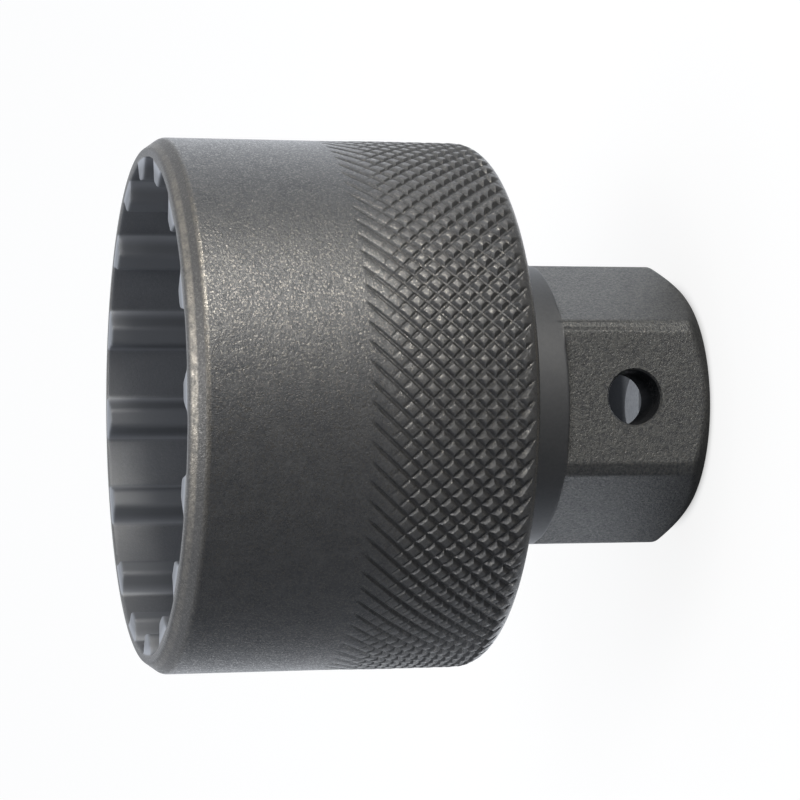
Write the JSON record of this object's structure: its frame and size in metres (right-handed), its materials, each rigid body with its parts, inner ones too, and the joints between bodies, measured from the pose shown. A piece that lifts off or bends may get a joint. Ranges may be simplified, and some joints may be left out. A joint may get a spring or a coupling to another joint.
{
  "type": "bottom bracket tool",
  "caption": "One-piece notched socket for external bottom bracket cups, with a knurled grip, a wrench hex and a square drive.",
  "frame": {"origin": "centre of the flat end face at the square drive, which the tool stands on", "axes": "+Z along the tool's axis towards the notched mouth; Y along the cross hole, square to two of the hex flats"},
  "size_m": [0.0482, 0.0482, 0.05],
  "materials": {
    "black_steel": "blasted steel with a satin black phosphate coat, paler along the turned edges"
  },
  "bodies": {
    "root": {"bottom_bracket_tool": "black_steel"}
  },
  "joints": []
}
